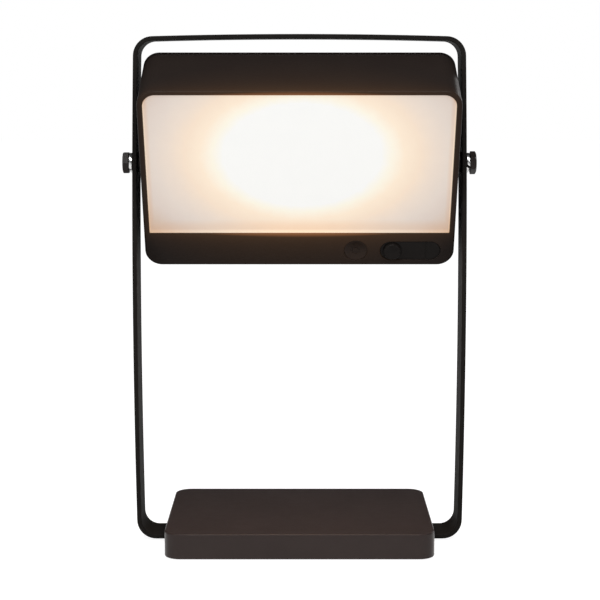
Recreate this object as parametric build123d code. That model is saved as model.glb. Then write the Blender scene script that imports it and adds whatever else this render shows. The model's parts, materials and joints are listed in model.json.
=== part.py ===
from build123d import *
from math import hypot, sqrt
import os

# Outdoor table lamp: a tilting light head held between the uprights of a flat-bar loop on a weighted base.
# Millimetres, +Z up, the front faces -Y, origin on the ground under the middle of the base.

# Base
base_width = 150.0
base_depth = 99.0
base_top = 15.0
base_corner = 9.2
base_edge_radius = 0.8
cover_wall = 2.0
skirt_gap = 0.8
base_fit = 0.3
plate_floor = 1.0
post_radius = 3.5
post_inset_x = 11.0
post_inset_y = 10.5
post_fit = 0.3
foot_radius = 6.5
foot_seat = 0.8
foot_edge = 0.4
foot_inset_x = 25.0
foot_inset_y = 14.0

# Loop of flat bar
bar_width = 24.0
bar_thick = 2.5
bar_edge = 0.4
loop_low = 1.5
loop_high = 288.65
loop_low_width = 185.9
loop_mid_width = 188.4
loop_top_width = 184.6
loop_arch = 1.5
loop_bend = 11.0
slot_fit = 0.3

# Head, drawn upright about its pivot and then tipped forward
pivot_height = 216.7
head_tilt = 26.5
head_width = 176.0
head_height = 111.0
head_depth = 49.0
head_corner = 9.5
head_rise = 1.0
head_front = 22.6
front_bevel = 0.5
side_wall = 3.0
top_wall = 2.4
band_height = 21.2
band_thick = 2.4
divider_thick = 1.6

# Diffuser and its seat
diffuser_thick = 2.5
diffuser_recess = 0.5
diffuser_fit = 0.15
diffuser_edge = 0.2
seal_thick = 0.8
seal_width = 3.0
ledge_width = 3.5
ledge_thick = 2.0

# Light tray and lamps
tray_wall = 1.2
tray_gap = 0.5
tray_fit = 0.4
tray_room = 2.0
lamp_board_side = 14.0
lamp_board_rim = 7.5
lamp_board_thick = 1.2
lamp_board_corner = 2.0
lamp_size = 3.0
lamp_high = 0.8
lens_radius = 1.2
lens_deep = 0.4
lamp_pitch = 13.0
lamps_across = 6
lamps_down = 3
lamp_screw_inset = 5.0

# Rear cover, gasket and solar panel
rear_thick = 4.2
rear_edge_radius = 1.2
rear_lip = 2.0
rear_lip_wall = 1.4
rear_lip_fit = 0.2
gasket_width = 1.1
gasket_high = 0.9
panel_width = 150.0
panel_height = 80.0
panel_thick = 2.0
panel_fit = 0.4
panel_sunk = 0.1
panel_corner = 2.0
tape_thick = 0.3
tape_width = 6.0

# Cells and holder
cell_radius = 9.1
cell_length = 65.0
cell_gap = 1.0
cell_centre = -22.0
cell_nub_radius = 2.8
cell_nub = 1.0
cell_edge = 0.4
holder_base = 1.5
holder_wall = 2.0
holder_rib_wall = 1.0
holder_rib_high = 5.5
holder_wall_high = 13.0
holder_lug = 6.0
holder_screw_inset = 3.0
contact_gap = 1.2
contact_plate = 0.5
contact_side = 9.0
contact_high = 13.0

# Controls on the lower band
control_line = 9.7
button_place = 32.0
button_radius = 6.6
button_fit = 0.1
button_edge = 0.25
button_rim = 0.5
button_sunk = 0.15
button_dish = 0.7
button_flange = 7.0
button_flange_thick = 1.0
button_travel = 0.6
mark_radius = 2.3
mark_line = 0.9
mark_deep = 0.35
stem_radius = 2.0
port_place = 63.1
port_length = 34.5
port_height = 12.2
port_deep = 1.5
port_edge_radius = 0.25
port_fit = 0.25
flap_thick = 1.2
flap_sunk = 0.2
flap_hinge = 72.0
flap_split = 0.1
knob_place = 52.8
knob_radius = 5.0
knob_high = 2.0
knob_edge_radius = 0.7
knob_groove = 0.6
knob_groove_deep = 0.35
barb_place = 76.0
barb_radius = 1.4
barb_head = 2.1
barb_head_long = 1.4
barb_fit = 0.05

# Control board, switch and charging socket
board_left = 15.5
board_right = 77.5
board_low = 3.4
board_high = 15.8
board_thick = 1.2
board_post_radius = 2.4
board_post_places = (19.0, 44.0, 70.5)
switch_side = 6.0
switch_high = 3.5
plunger_radius = 1.55
plunger_fit = 0.1
plunger_in = 1.5
plunger_out = 1.5
plunger_room = 0.3
socket_place = 60.0
socket_width = 9.0
socket_high = 3.2
socket_wall = 0.35
socket_fit = 0.2
socket_room = 6.6
socket_long = 9.1
tongue_width = 6.6
tongue_thick = 0.7
tongue_back = 1.4
plug_fit = 0.4
plug_deep = 0.8

# Pivot hardware
bolt_radius = 3.0
bolt_fit = 0.08
bolt_flats = 11.5
bolt_head = 3.6
bolt_head_chamfer = 0.6
bolt_grip = 7.0
washer_radius = 5.6
washer_thick = 2.5
washer_wire = 1.7
washer_split = 0.7
washer_slant = 25.0
washer_fit = 0.15
spacer_radius = 6.0
thrust_gap = 0.15
insert_radius = 4.4
insert_long = 8.0
insert_fit = 0.02
insert_shy = 0.2
pivot_boss = 7.0
pivot_boss_long = 8.0

# Screws: shank radius, head radius, head height, length under the head
rear_screw = (1.25, 2.4, 1.6, 10.0)
board_screw = (1.0, 1.9, 1.2, 5.0)
lamp_screw = (0.9, 1.7, 0.9, 3.2)
holder_screw = (1.0, 1.9, 1.2, 2.9)
base_screw = (1.5, 2.8, 1.9, 8.0)
frame_screw = (2.0, 3.9, 2.1, 8.2)
screw_fit = 0.25
screw_sink = 0.3
tight_fit = 0.02
driver_share = 0.45
driver_deep_share = 0.6
rear_screw_inset = 7.5
rear_boss = 3.6
rear_boss_long = 14.0
frame_screw_places = (-52.0, -28.0, 28.0, 52.0)

overrun = 1.0

# Places worked out from the sizes above
cover_top = base_top - cover_wall
plate_top = loop_low + bar_thick + plate_floor
head_half = head_width / 2
head_top = head_rise + head_height / 2
head_bottom = head_rise - head_height / 2
face_y = -head_front
back_y = face_y + head_depth
rear_y = back_y - rear_thick
inner_half = head_half - side_wall
inner_top = head_top - top_wall
inner_bottom = head_bottom + top_wall
inner_corner = head_corner - top_wall
window_low = head_bottom + band_height
window_middle = (inner_top + window_low) / 2
diffuser_y = face_y + diffuser_recess
seal_y = diffuser_y + diffuser_thick
ledge_y = seal_y + seal_thick
tray_y = ledge_y + ledge_thick
control_z = head_bottom + control_line
band_back_y = face_y + band_thick
pocket_y = face_y + port_deep
flap_y = face_y + flap_sunk
socket_y = pocket_y + button_fit
board_y = socket_y + socket_long
cell_y = rear_y - holder_base - cell_radius
cell_pitch = 2 * cell_radius + cell_gap
tray_back_y = cell_y - cell_radius - tray_gap
screw_x = head_half - rear_screw_inset
rear_screw_places = [
    (x, z)
    for z in (head_bottom + rear_screw_inset, head_top - rear_screw_inset)
    for x in (-screw_x, 0, screw_x)
]
post_places = [
    (sx * (base_width / 2 - post_inset_x), sy * (base_depth / 2 - post_inset_y))
    for sx in (-1, 1)
    for sy in (-1, 1)
]
foot_places = [
    (sx * (base_width / 2 - foot_inset_x), sy * (base_depth / 2 - foot_inset_y))
    for sx in (-1, 1)
    for sy in (-1, 1)
]
from_below = (Align.CENTER, Align.CENTER, Align.MIN)
from_corner = (Align.MIN, Align.MIN, Align.MIN)


# A box between two limits on each axis
def block(x0, x1, y0, y1, z0, z1):
    return Pos(x0, y0, z0) * Box(x1 - x0, y1 - y0, z1 - z0, align=from_corner)


# A round bar along X between two places, given in either order
def bar_x(radius, x0, x1, y=0, z=0):
    return Pos(min(x0, x1), y, z) * Rot(0, 90, 0) * Cylinder(radius, abs(x1 - x0), align=from_below)


# A round bar along Y, from y0 back to y1
def bar_y(radius, y0, y1, x=0, z=0):
    return Pos(x, y0, z) * Rot(-90, 0, 0) * Cylinder(radius, y1 - y0, align=from_below)


# A round bar along Z, from z0 up to z1
def bar_z(radius, z0, z1, x=0, y=0):
    return Pos(x, y, z0) * Cylinder(radius, z1 - z0, align=from_below)


# A flat outline drawn in the front view, made thick from y0 back to y1
def thick(outline, y0, y1, x=0, z=0):
    return Pos(x, y1, z) * extrude(Plane.XZ * outline, amount=y1 - y0)


# A rounded plate lying flat between two heights
def plate(width, depth, corner, z0, z1):
    return Pos(0, 0, z0) * extrude(RectangleRounded(width, depth, corner), amount=z1 - z0)


# The same piece on the right and, turned half round about Z, on the left
def pair(piece):
    return Compound(children=[piece, Rot(0, 0, 180) * piece])


# Half the loop's outer width at a height, on the circle through its three given widths
def loop_half(z):
    rise = (loop_high - loop_arch - loop_low) / 2
    low, middle, top = loop_low_width / 2, loop_mid_width / 2, loop_top_width / 2
    chord = hypot(2 * rise, top - low)
    bow = middle - (low + top) / 2
    radius = (chord * chord / 4 + bow * bow) / (2 * bow)
    lean = (top - low) / chord
    along = z - loop_low - rise
    return middle - radius + sqrt(radius * radius - along * along) + lean * along


# Head pieces are drawn upright about the pivot; this tips each solid and lifts it to the pivot
def in_place(piece):
    tip = Pos(0, 0, pivot_height) * Rot(head_tilt, 0, 0)
    return Compound(children=[tip * solid for solid in piece.solids()])


# The front view outline of the window, smaller all round by a margin
def window(margin):
    width = 2 * (inner_half - margin)
    height = inner_top - window_low - 2 * margin
    sheet = Rectangle(width, height)
    return fillet(sheet.vertices().group_by(Axis.Y)[-1], max(inner_corner - margin, bar_edge))


# A pan-head screw along +Z, its head's underside at the origin and its shank below
def pan_screw(kind):
    shank, head, high, long = kind
    screw = bar_z(shank, -long, 0) + bar_z(head, 0, high)
    screw = fillet(screw.edges().filter_by(GeomType.CIRCLE).sort_by(Axis.Z)[-1], high * driver_share)
    slot = RegularPolygon(head * driver_share, 6)
    return screw - Pos(0, 0, high) * extrude(slot, amount=-high * driver_deep_share)


# A countersunk screw along +Z, its head's flat top at the origin
def sunk_screw(kind):
    shank, head, high, long = kind
    cone = Pos(0, 0, -high) * Cone(shank, head, high, align=from_below)
    screw = bar_z(shank, -high - long, -high) + cone
    slot = RegularPolygon(head * driver_share, 6)
    return screw - extrude(slot, amount=-high * driver_deep_share)


# Outer surface of the base cover with its posts; a notch each side lets the bar out
def base_cover():
    outer = plate(base_width, base_depth, base_corner, skirt_gap, base_top)
    outer = fillet(outer.edges().group_by(Axis.Z)[-1], base_edge_radius)
    room = plate(
        base_width - 2 * cover_wall,
        base_depth - 2 * cover_wall,
        base_corner - cover_wall,
        skirt_gap - overrun,
        cover_top,
    )
    cover = outer - room
    half = bar_width / 2 + slot_fit
    across = base_width / 2 + overrun
    cover -= block(-across, across, -half, half, skirt_gap - overrun, loop_low + bar_thick + slot_fit)
    for x, y in post_places:
        cover += bar_z(post_radius, plate_top, cover_top, x, y)
        cover -= bar_z(base_screw[0] + tight_fit, plate_top - overrun, plate_top + base_screw[3], x, y)
    return cover


# Iron weight that fills the cover, drilled for the posts and tapped for the loop's screws
def base_weight():
    shrink = 2 * (cover_wall + base_fit)
    corner = base_corner - cover_wall - base_fit
    weight = plate(base_width - shrink, base_depth - shrink, corner, plate_top, cover_top)
    for x, y in post_places:
        weight -= bar_z(post_radius + post_fit, plate_top - overrun, cover_top + overrun, x, y)
    for x in frame_screw_places:
        weight -= bar_z(frame_screw[0] + tight_fit, plate_top - overrun, cover_top - overrun, x)
    return weight


# Bottom plate with a channel for the bar, foot seats and counterbored screw holes
def base_plate():
    shrink = 2 * (cover_wall + base_fit)
    corner = base_corner - cover_wall - base_fit
    bottom = plate(base_width - shrink, base_depth - shrink, corner, skirt_gap, plate_top)
    half = bar_width / 2 + slot_fit
    across = base_width / 2
    bottom -= block(-across, across, -half, half, skirt_gap - overrun, loop_low + bar_thick)
    for x, y in foot_places:
        bottom -= bar_z(foot_radius + tight_fit, skirt_gap - overrun, skirt_gap + foot_seat, x, y)
    head_level = skirt_gap + screw_sink + base_screw[2]
    for x, y in post_places:
        bottom -= bar_z(base_screw[0] + screw_fit, skirt_gap - overrun, plate_top + overrun, x, y)
        bottom -= bar_z(base_screw[1] + screw_fit, skirt_gap - overrun, head_level, x, y)
    for x in frame_screw_places:
        bottom -= bar_z(frame_screw[0] + screw_fit, skirt_gap - overrun, plate_top + overrun, x)
    return bottom


# Rubber feet, round pads glued in the bottom plate's seats
def base_feet():
    pad = bar_z(foot_radius, 0, skirt_gap + foot_seat)
    pad = fillet(pad.edges().filter_by(GeomType.CIRCLE).sort_by(Axis.Z)[0], foot_edge)
    return Compound(children=[Pos(x, y, 0) * pad for x, y in foot_places])


# Screws up through the bottom plate into the cover's posts
def base_screws():
    level = skirt_gap + screw_sink + base_screw[2]
    screw = Rot(180, 0, 0) * pan_screw(base_screw)
    return Compound(children=[Pos(x, y, level) * screw for x, y in post_places])


# Outline of the loop in the front view, inset from its outer face: bowed sides, arched top, rounded bends
def loop_outline(inset):
    low_z = loop_low + inset
    corner_z = loop_high - loop_arch - inset
    middle_z = (low_z + corner_z) / 2
    low, middle, top = (loop_half(z) - inset for z in (low_z, middle_z, corner_z))
    lines = [
        Line((-low, low_z), (low, low_z)),
        ThreePointArc((low, low_z), (middle, middle_z), (top, corner_z)),
        ThreePointArc((top, corner_z), (0, loop_high - inset), (-top, corner_z)),
        ThreePointArc((-top, corner_z), (-middle, middle_z), (-low, low_z)),
    ]
    face = make_face(lines)
    return fillet(face.vertices(), loop_bend - inset)


# The bent flat bar: handle on top, uprights at the sides, foot strip under the base
def frame_loop():
    half = bar_width / 2
    loop = thick(loop_outline(0), -half, half)
    loop -= thick(loop_outline(bar_thick), -half - overrun, half + overrun)
    rims = loop.faces().filter_by(Axis.Y).edges()
    loop = chamfer(rims, bar_edge)
    reach = loop_half(pivot_height) + overrun
    loop -= bar_x(bolt_radius + bolt_fit, -reach, reach, 0, pivot_height)
    for x in frame_screw_places:
        loop -= bar_z(frame_screw[0] + screw_fit, 0, loop_low + bar_thick + overrun, x)
        sink = Cone(frame_screw[1] + screw_fit, frame_screw[0] + screw_fit, frame_screw[2], align=from_below)
        loop -= Pos(x, 0, loop_low) * sink
    return loop


# Countersunk screws that hold the foot strip and bottom plate to the weight
def frame_screws():
    screw = Rot(180, 0, 0) * sunk_screw(frame_screw)
    return Compound(children=[Pos(x, 0, loop_low) * screw for x in frame_screw_places])


# Pocket of the port cover in the front view
def port_outline(margin):
    return SlotOverall(port_length - 2 * margin, port_height - 2 * margin)


# Tube-like housing of the head: walls, lower control band, diffuser ledge, bosses and posts
def head_housing():
    whole = thick(RectangleRounded(head_width, head_height, head_corner), face_y, rear_y, 0, head_rise)
    outer = chamfer(whole.faces().sort_by(Axis.Y)[0].edges(), front_bevel)
    hollow = RectangleRounded(2 * inner_half, inner_top - inner_bottom, inner_corner)
    room = thick(hollow, face_y - overrun, rear_y + overrun, 0, head_rise)
    body = outer - room
    below = block(-head_half, head_half, face_y - overrun, band_back_y, head_bottom, window_low)
    body += outer & below
    shelf_z = window_low - divider_thick
    body += block(-inner_half, inner_half, band_back_y, tray_y, shelf_z, window_low)
    ring = window(0) - window(ledge_width)
    body += thick(ring, ledge_y, tray_y, 0, window_middle)
    bosses = [bar_x(pivot_boss, s * inner_half, s * (inner_half - pivot_boss_long)) for s in (-1, 1)]
    bosses += [bar_y(rear_boss, rear_y - rear_boss_long, rear_y, x, z) for x, z in rear_screw_places]
    for x, z in rear_screw_places:
        side = 1 if z > 0 else -1
        edge = inner_top if z > 0 else inner_bottom
        low, high = sorted((z, edge + side * divider_thick))
        bosses.append(block(x - rear_boss, x + rear_boss, rear_y - rear_boss_long, rear_y, low, high))
        if x:
            turn = 1 if x > 0 else -1
            left, right = sorted((x, turn * (inner_half + divider_thick)))
            bosses.append(block(left, right, rear_y - rear_boss_long, rear_y, z - rear_boss, z + rear_boss))
    bosses += [bar_y(board_post_radius, band_back_y, board_y, x, board_middle()) for x in board_post_places]
    for boss in bosses:
        body += boss & whole
    return drilled(body)


# Height of the control board's middle, where its posts stand
def board_middle():
    return head_bottom + (board_low + board_high) / 2


# The housing's holes: pivot inserts, screws, button, port pocket, socket, barb and gasket groove
def drilled(body):
    for s in (-1, 1):
        tip = head_half - insert_shy - insert_long
        body -= bar_x(insert_radius + insert_fit, s * (head_half + overrun), s * tip)
        body -= bar_x(bolt_radius + insert_fit, s * head_half, s * (tip - overrun))
    for x, z in rear_screw_places:
        body -= bar_y(rear_screw[0] + tight_fit, rear_y - rear_screw[3], rear_y + overrun, x, z)
    for x in board_post_places:
        tip = board_y - board_screw[3]
        body -= bar_y(board_screw[0] + tight_fit, tip, board_y + overrun, x, board_middle())
    front = face_y - overrun
    body -= bar_y(button_radius + button_fit, front, band_back_y + overrun, button_place, control_z)
    body -= thick(port_outline(0), front, pocket_y, port_place, control_z)
    mouth = SlotOverall(socket_width + 2 * socket_fit, socket_high + 2 * socket_fit)
    body -= thick(mouth, front, band_back_y + overrun, socket_place, control_z)
    body -= bar_y(barb_radius + barb_fit, front, band_back_y + overrun, barb_place, control_z)
    middle = top_wall / 2
    outside = RectangleRounded(
        head_width - 2 * middle + gasket_width, head_height - 2 * middle + gasket_width, head_corner - middle
    )
    inside = RectangleRounded(
        head_width - 2 * middle - gasket_width, head_height - 2 * middle - gasket_width, head_corner - middle
    )
    return body - thick(outside - inside, rear_y - gasket_high, rear_y + overrun, 0, head_rise)


# Rubber gasket in the housing's rear groove
def rear_gasket():
    middle = top_wall / 2
    width = gasket_width - 2 * tight_fit
    outside = RectangleRounded(head_width - 2 * middle + width, head_height - 2 * middle + width, head_corner - middle)
    inside = RectangleRounded(head_width - 2 * middle - width, head_height - 2 * middle - width, head_corner - middle)
    return thick(outside - inside, rear_y - gasket_high, rear_y, 0, head_rise)


# Frosted diffuser sheet, set a little behind the rim
def diffuser():
    sheet = thick(window(diffuser_fit), diffuser_y, seal_y, 0, window_middle)
    return chamfer(sheet.faces().sort_by(Axis.Y)[0].edges(), diffuser_edge)


# Foam seal between the diffuser and the housing's ledge
def diffuser_seal():
    ring = window(diffuser_fit) - window(diffuser_fit + seal_width)
    return thick(ring, seal_y, ledge_y, 0, window_middle)


# A light tray surface: its mouth just inside the flange, narrowing to fit round the lamp board
def tray_cone(margin, y0, y1):
    wide = 2 * (inner_half - ledge_width - margin)
    high = inner_top - window_low - 2 * (ledge_width + margin)
    mouth = Plane.XZ * RectangleRounded(wide, high, inner_corner)
    room = 2 * (tray_room + tray_wall - margin)
    back = Plane.XZ * RectangleRounded(lamp_board_width() + room, lamp_board_height() + room, inner_corner)
    return loft([Pos(0, y0, window_middle) * mouth, Pos(0, y1, window_middle) * back])


# White light tray: flange on the ledge, sloping sides and a flat back that carries the lamp board
def light_tray():
    outer = tray_cone(0, tray_y, tray_back_y)
    inner = tray_cone(tray_wall, tray_y, tray_back_y - tray_wall)
    flange = thick(window(tray_fit), tray_y, tray_y + tray_wall, 0, window_middle)
    tray = outer + flange - inner
    for x in lamp_screw_xs():
        tray -= bar_y(lamp_screw[0] + tight_fit, lamp_board_back() - overrun, tray_back_y + overrun, x, window_middle)
    return tray


# The lamp board's back face lies on the tray's flat back
def lamp_board_back():
    return tray_back_y - tray_wall


# The lamp board reaches past its lamps for the screws at the sides and a rim above and below
def lamp_board_width():
    return (lamps_across - 1) * lamp_pitch + lamp_size + 2 * lamp_board_side


def lamp_board_height():
    return (lamps_down - 1) * lamp_pitch + lamp_size + 2 * lamp_board_rim


# Where the lamp board's screws go, left and right
def lamp_screw_xs():
    reach = lamp_board_width() / 2 - lamp_screw_inset
    return (-reach, reach)


# Board that carries the lamps
def lamp_board():
    back = lamp_board_back()
    sheet = RectangleRounded(lamp_board_width(), lamp_board_height(), lamp_board_corner)
    board = thick(sheet, back - lamp_board_thick, back, 0, window_middle)
    for x in lamp_screw_xs():
        board -= bar_y(lamp_screw[0] + screw_fit, back - lamp_board_thick - overrun, back + overrun, x, window_middle)
    return board


# Small square lamps in rows, each with a shallow round lens seat
def lamps():
    base = lamp_board_back() - lamp_board_thick
    one = block(-lamp_size / 2, lamp_size / 2, base - lamp_high, base, -lamp_size / 2, lamp_size / 2)
    one -= bar_y(lens_radius, base - lamp_high - overrun, base - lamp_high + lens_deep)
    chips = []
    for row in range(lamps_down):
        for column in range(lamps_across):
            x = (column - (lamps_across - 1) / 2) * lamp_pitch
            z = (row - (lamps_down - 1) / 2) * lamp_pitch
            chips.append(Pos(x, 0, window_middle + z) * one)
    return Compound(children=chips)


# Screws through the lamp board into the tray
def lamp_screws():
    base = lamp_board_back() - lamp_board_thick
    screw = Rot(90, 0, 0) * pan_screw(lamp_screw)
    return Compound(children=[Pos(x, base, window_middle) * screw for x in lamp_screw_xs()])


# Rear cover: a lip inside the housing's walls and a pocket for the solar panel
def rear_cover():
    lid = thick(RectangleRounded(head_width, head_height, head_corner), rear_y, back_y, 0, head_rise)
    lid = fillet(lid.faces().sort_by(Axis.Y)[-1].edges(), rear_edge_radius)
    reach = 2 * (inner_half - rear_lip_fit)
    rise = inner_top - inner_bottom - 2 * rear_lip_fit
    thin = 2 * rear_lip_wall
    outline = RectangleRounded(reach, rise, inner_corner) - RectangleRounded(
        reach - thin, rise - thin, inner_corner - rear_lip_wall
    )
    lip = thick(outline, rear_y - rear_lip, rear_y, 0, head_rise)
    for x, z in rear_screw_places:
        room = rear_boss + rear_lip_fit
        wide = inner_half - abs(x) + overrun if x else 0
        high = rear_screw_inset
        lip -= block(x - room - wide, x + room + wide, rear_y - rear_lip - overrun, rear_y, z - high, z + high)
        tall = high if z > 0 else -high
        low, top = sorted((z - (room if z > 0 else -room), z + tall))
        lip -= block(x - rear_screw_inset - wide, x + rear_screw_inset + wide, rear_y - rear_lip - overrun, rear_y, low, top)
    cover = lid + lip
    seat = back_y - panel_sunk - panel_thick - tape_thick
    pocket = RectangleRounded(panel_width + 2 * panel_fit, panel_height + 2 * panel_fit, panel_corner)
    cover -= thick(pocket, seat, back_y + overrun, 0, head_rise)
    for x, z in rear_screw_places:
        cover -= bar_y(rear_screw[0] + screw_fit, rear_y - overrun, back_y + overrun, x, z)
        level = back_y - screw_sink - rear_screw[2]
        cover -= bar_y(rear_screw[1] + screw_fit, level, back_y + overrun, x, z)
    for x, z in holder_screw_places():
        cover -= bar_y(holder_screw[0] + tight_fit, rear_y - overrun, rear_y + holder_screw[3] - holder_base, x, z)
    return cover


# Screws through the rear cover into the housing's bosses
def rear_screws():
    screw = Rot(-90, 0, 0) * pan_screw(rear_screw)
    level = back_y - screw_sink - rear_screw[2]
    return Compound(children=[Pos(x, level, z) * screw for x, z in rear_screw_places])


# Solar panel: a thin laminate in the rear cover's pocket
def solar_panel():
    face = back_y - panel_sunk
    sheet = RectangleRounded(panel_width, panel_height, panel_corner)
    return thick(sheet, face - panel_thick, face, 0, head_rise)


# Adhesive ring under the solar panel
def panel_tape():
    face = back_y - panel_sunk - panel_thick
    inner = (panel_width - 2 * tape_width, panel_height - 2 * tape_width)
    ring = RectangleRounded(panel_width, panel_height, panel_corner) - Rectangle(*inner)
    return thick(ring, face - tape_thick, face, 0, head_rise)


# Outer limits of the cell holder: half width, low and high edges
def holder_limits():
    half = cell_length / 2 + contact_gap + holder_wall
    reach = cell_pitch / 2 + cell_radius + cell_gap
    return half, cell_centre - reach, cell_centre + reach


# Four lug screws of the holder, outside its end walls
def holder_screw_places():
    half, low, high = holder_limits()
    x = half + holder_lug - holder_screw_inset
    return [(sx * x, z) for sx in (-1, 1) for z in (low + holder_screw_inset, high - holder_screw_inset)]


# Cell holder: a floor on the rear cover, end walls for the contacts and ribs beside the cells
def cell_holder():
    half, low, high = holder_limits()
    floor_y = rear_y - holder_base
    holder = block(-half - holder_lug, half + holder_lug, floor_y, rear_y, low, high)
    for s in (-1, 1):
        near, far = sorted((s * half, s * (half - holder_wall)))
        holder += block(near, far, floor_y - holder_wall_high, floor_y, low, high)
    for z in (low, high - holder_rib_wall):
        holder += block(-half, half, floor_y - holder_rib_high, floor_y, z, z + holder_rib_wall)
    for x, z in holder_screw_places():
        holder -= bar_y(holder_screw[0] + screw_fit, floor_y - overrun, rear_y + overrun, x, z)
    return holder


# Screws through the holder's lugs into the rear cover
def holder_screws():
    screw = Rot(90, 0, 0) * pan_screw(holder_screw)
    floor_y = rear_y - holder_base
    return Compound(children=[Pos(x, floor_y, z) * screw for x, z in holder_screw_places()])


# Two round rechargeable cells lying side by side in the holder
def cells():
    half = cell_length / 2
    can = bar_x(cell_radius, -half, half - cell_nub, cell_y)
    can = fillet(can.edges().filter_by(GeomType.CIRCLE), cell_edge)
    cell = can + bar_x(cell_nub_radius, half - cell_nub, half, cell_y)
    low = Pos(0, 0, cell_centre - cell_pitch / 2) * cell
    high = Pos(0, 0, cell_centre + cell_pitch / 2) * mirror(cell, about=Plane.YZ)
    return Compound(children=[low, high])


# Contact plates between the cell ends and the holder's end walls, each with a pressed boss
def contacts():
    half = cell_length / 2
    side = contact_side / 2
    near, far = half + contact_gap - contact_plate, half + contact_gap
    floor_y = rear_y - holder_base
    sheet = block(near, far, floor_y - contact_high, floor_y, -side, side)
    sheet += bar_x(cell_nub_radius, half, near, cell_y)
    pieces = []
    for z in (cell_centre - cell_pitch / 2, cell_centre + cell_pitch / 2):
        pieces += [Pos(0, 0, z) * sheet, Pos(0, 0, z) * mirror(sheet, about=Plane.YZ)]
    return Compound(children=pieces)


# Power button: dished face with a small round mark, flange behind the band and a stem
def power_button():
    top = face_y + button_sunk
    flange_y = band_back_y + button_fit
    stem_end = board_y - switch_high - plunger_out
    button = bar_y(button_radius, top, flange_y + button_flange_thick, button_place, control_z)
    button = chamfer(button.edges().filter_by(GeomType.CIRCLE).sort_by(Axis.Y)[0], button_edge)
    button += bar_y(button_flange, flange_y, flange_y + button_flange_thick, button_place, control_z)
    button += bar_y(stem_radius, flange_y, stem_end, button_place, control_z)
    rim = button_radius - button_rim
    ball = (rim * rim + button_dish * button_dish) / (2 * button_dish)
    button -= Pos(button_place, top + button_dish - ball, control_z) * Sphere(ball)
    ring = bar_y(mark_radius, top, top + button_dish + mark_deep, button_place, control_z)
    core = bar_y(mark_radius - mark_line, top, top + button_dish + mark_deep, button_place, control_z)
    return button - (ring - core)


# Plunger of the switch, carried by the button's stem
def switch_plunger():
    top = board_y - switch_high
    return bar_y(plunger_radius, top - plunger_out, top + plunger_in, button_place, control_z)


# Tactile switch body on the control board
def switch_body():
    half = switch_side / 2
    x0, z0 = button_place - half, control_z - half
    top = board_y - switch_high
    body = block(x0, x0 + switch_side, top, board_y, z0, z0 + switch_side)
    floor = top + plunger_in + button_travel + plunger_room
    return body - bar_y(plunger_radius + plunger_fit, top - overrun, floor, button_place, control_z)


# Control board behind the lower band
def control_board():
    board = block(
        board_left, board_right, board_y, board_y + board_thick, head_bottom + board_low, head_bottom + board_high
    )
    for x in board_post_places:
        board -= bar_y(board_screw[0] + screw_fit, board_y - overrun, board_y + board_thick + overrun, x, board_middle())
    return board


# Screws through the control board into the housing's posts
def board_screws():
    screw = Rot(-90, 0, 0) * pan_screw(board_screw)
    level = board_y + board_thick
    return Compound(children=[Pos(x, level, board_middle()) * screw for x in board_post_places])


# Charging socket: an oval metal shell with a tongue inside, open to the front
def charging_socket():
    shell = thick(SlotOverall(socket_width, socket_high), socket_y, board_y, socket_place, control_z)
    room = SlotOverall(socket_width - 2 * socket_wall, socket_high - 2 * socket_wall)
    shell -= thick(room, socket_y - overrun, socket_y + socket_room, socket_place, control_z)
    half = tongue_width / 2
    thin = tongue_thick / 2
    root = socket_y + socket_room
    x0, x1 = socket_place - half, socket_place + half
    return shell + block(x0, x1, socket_y + tongue_back, root, control_z - thin, control_z + thin)


# The whole rubber port cover in one sheet, before it is parted at its hinge line
def cover_sheet():
    sheet = thick(port_outline(port_fit), flap_y, flap_y + flap_thick, port_place, control_z)
    return fillet(sheet.faces().sort_by(Axis.Y)[0].edges(), port_edge_radius)


# Port cover's moving flap: round pull knob in a shallow ring groove, plug for the socket behind
def port_cover():
    reach = port_place - port_length
    side = block(reach, flap_hinge, flap_y - overrun, board_y, control_z - port_height, control_z + port_height)
    flap = cover_sheet() & side
    groove = bar_y(knob_radius + knob_groove, flap_y - overrun, flap_y + knob_groove_deep, knob_place, control_z)
    flap -= groove - bar_y(knob_radius, flap_y - overrun, board_y, knob_place, control_z)
    knob = bar_y(knob_radius, flap_y - knob_high, flap_y + flap_thick / 2, knob_place, control_z)
    knob = fillet(knob.edges().filter_by(GeomType.CIRCLE).sort_by(Axis.Y)[0], knob_edge_radius)
    shrink = 2 * (socket_wall + plug_fit)
    nub = SlotOverall(socket_width - shrink, socket_high - shrink)
    back = flap_y + flap_thick
    return flap + knob + thick(nub, back - flap_thick / 2, back + plug_deep, socket_place, control_z)


# Port cover's fixed end: the rest of the sheet with a barbed stud through the band
def cover_anchor():
    reach = port_place + port_length
    left = flap_hinge + flap_split
    side = block(left, reach, flap_y - overrun, board_y, control_z - port_height, control_z + port_height)
    anchor = cover_sheet() & side
    anchor += bar_y(barb_radius, flap_y + flap_thick / 2, band_back_y + barb_head_long, barb_place, control_z)
    return anchor + bar_y(barb_head, band_back_y, band_back_y + barb_head_long, barb_place, control_z)


# Where the pivot hardware lies on the right: the bar's two faces, then the washer and the bolt head
def pivot_stack():
    outside = loop_half(pivot_height)
    washer = outside + thrust_gap
    return outside - bar_thick, outside, washer, washer + washer_thick


# Hex-head pivot bolts, screwed into the head's inserts
def pivot_bolts():
    seat = pivot_stack()[3]
    across = bolt_flats / sqrt(3)
    head = extrude(RegularPolygon(across, 6), amount=bolt_head)
    cap = Cone(across + bolt_head, across - bolt_head_chamfer, bolt_head + bolt_head_chamfer, align=from_below)
    head = head & cap
    shank = bar_z(bolt_radius, -(seat - head_half + bolt_grip), 0)
    bolt = Pos(seat, 0, 0) * Rot(0, 90, 0) * (head + shank)
    return pair(bolt)


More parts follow.
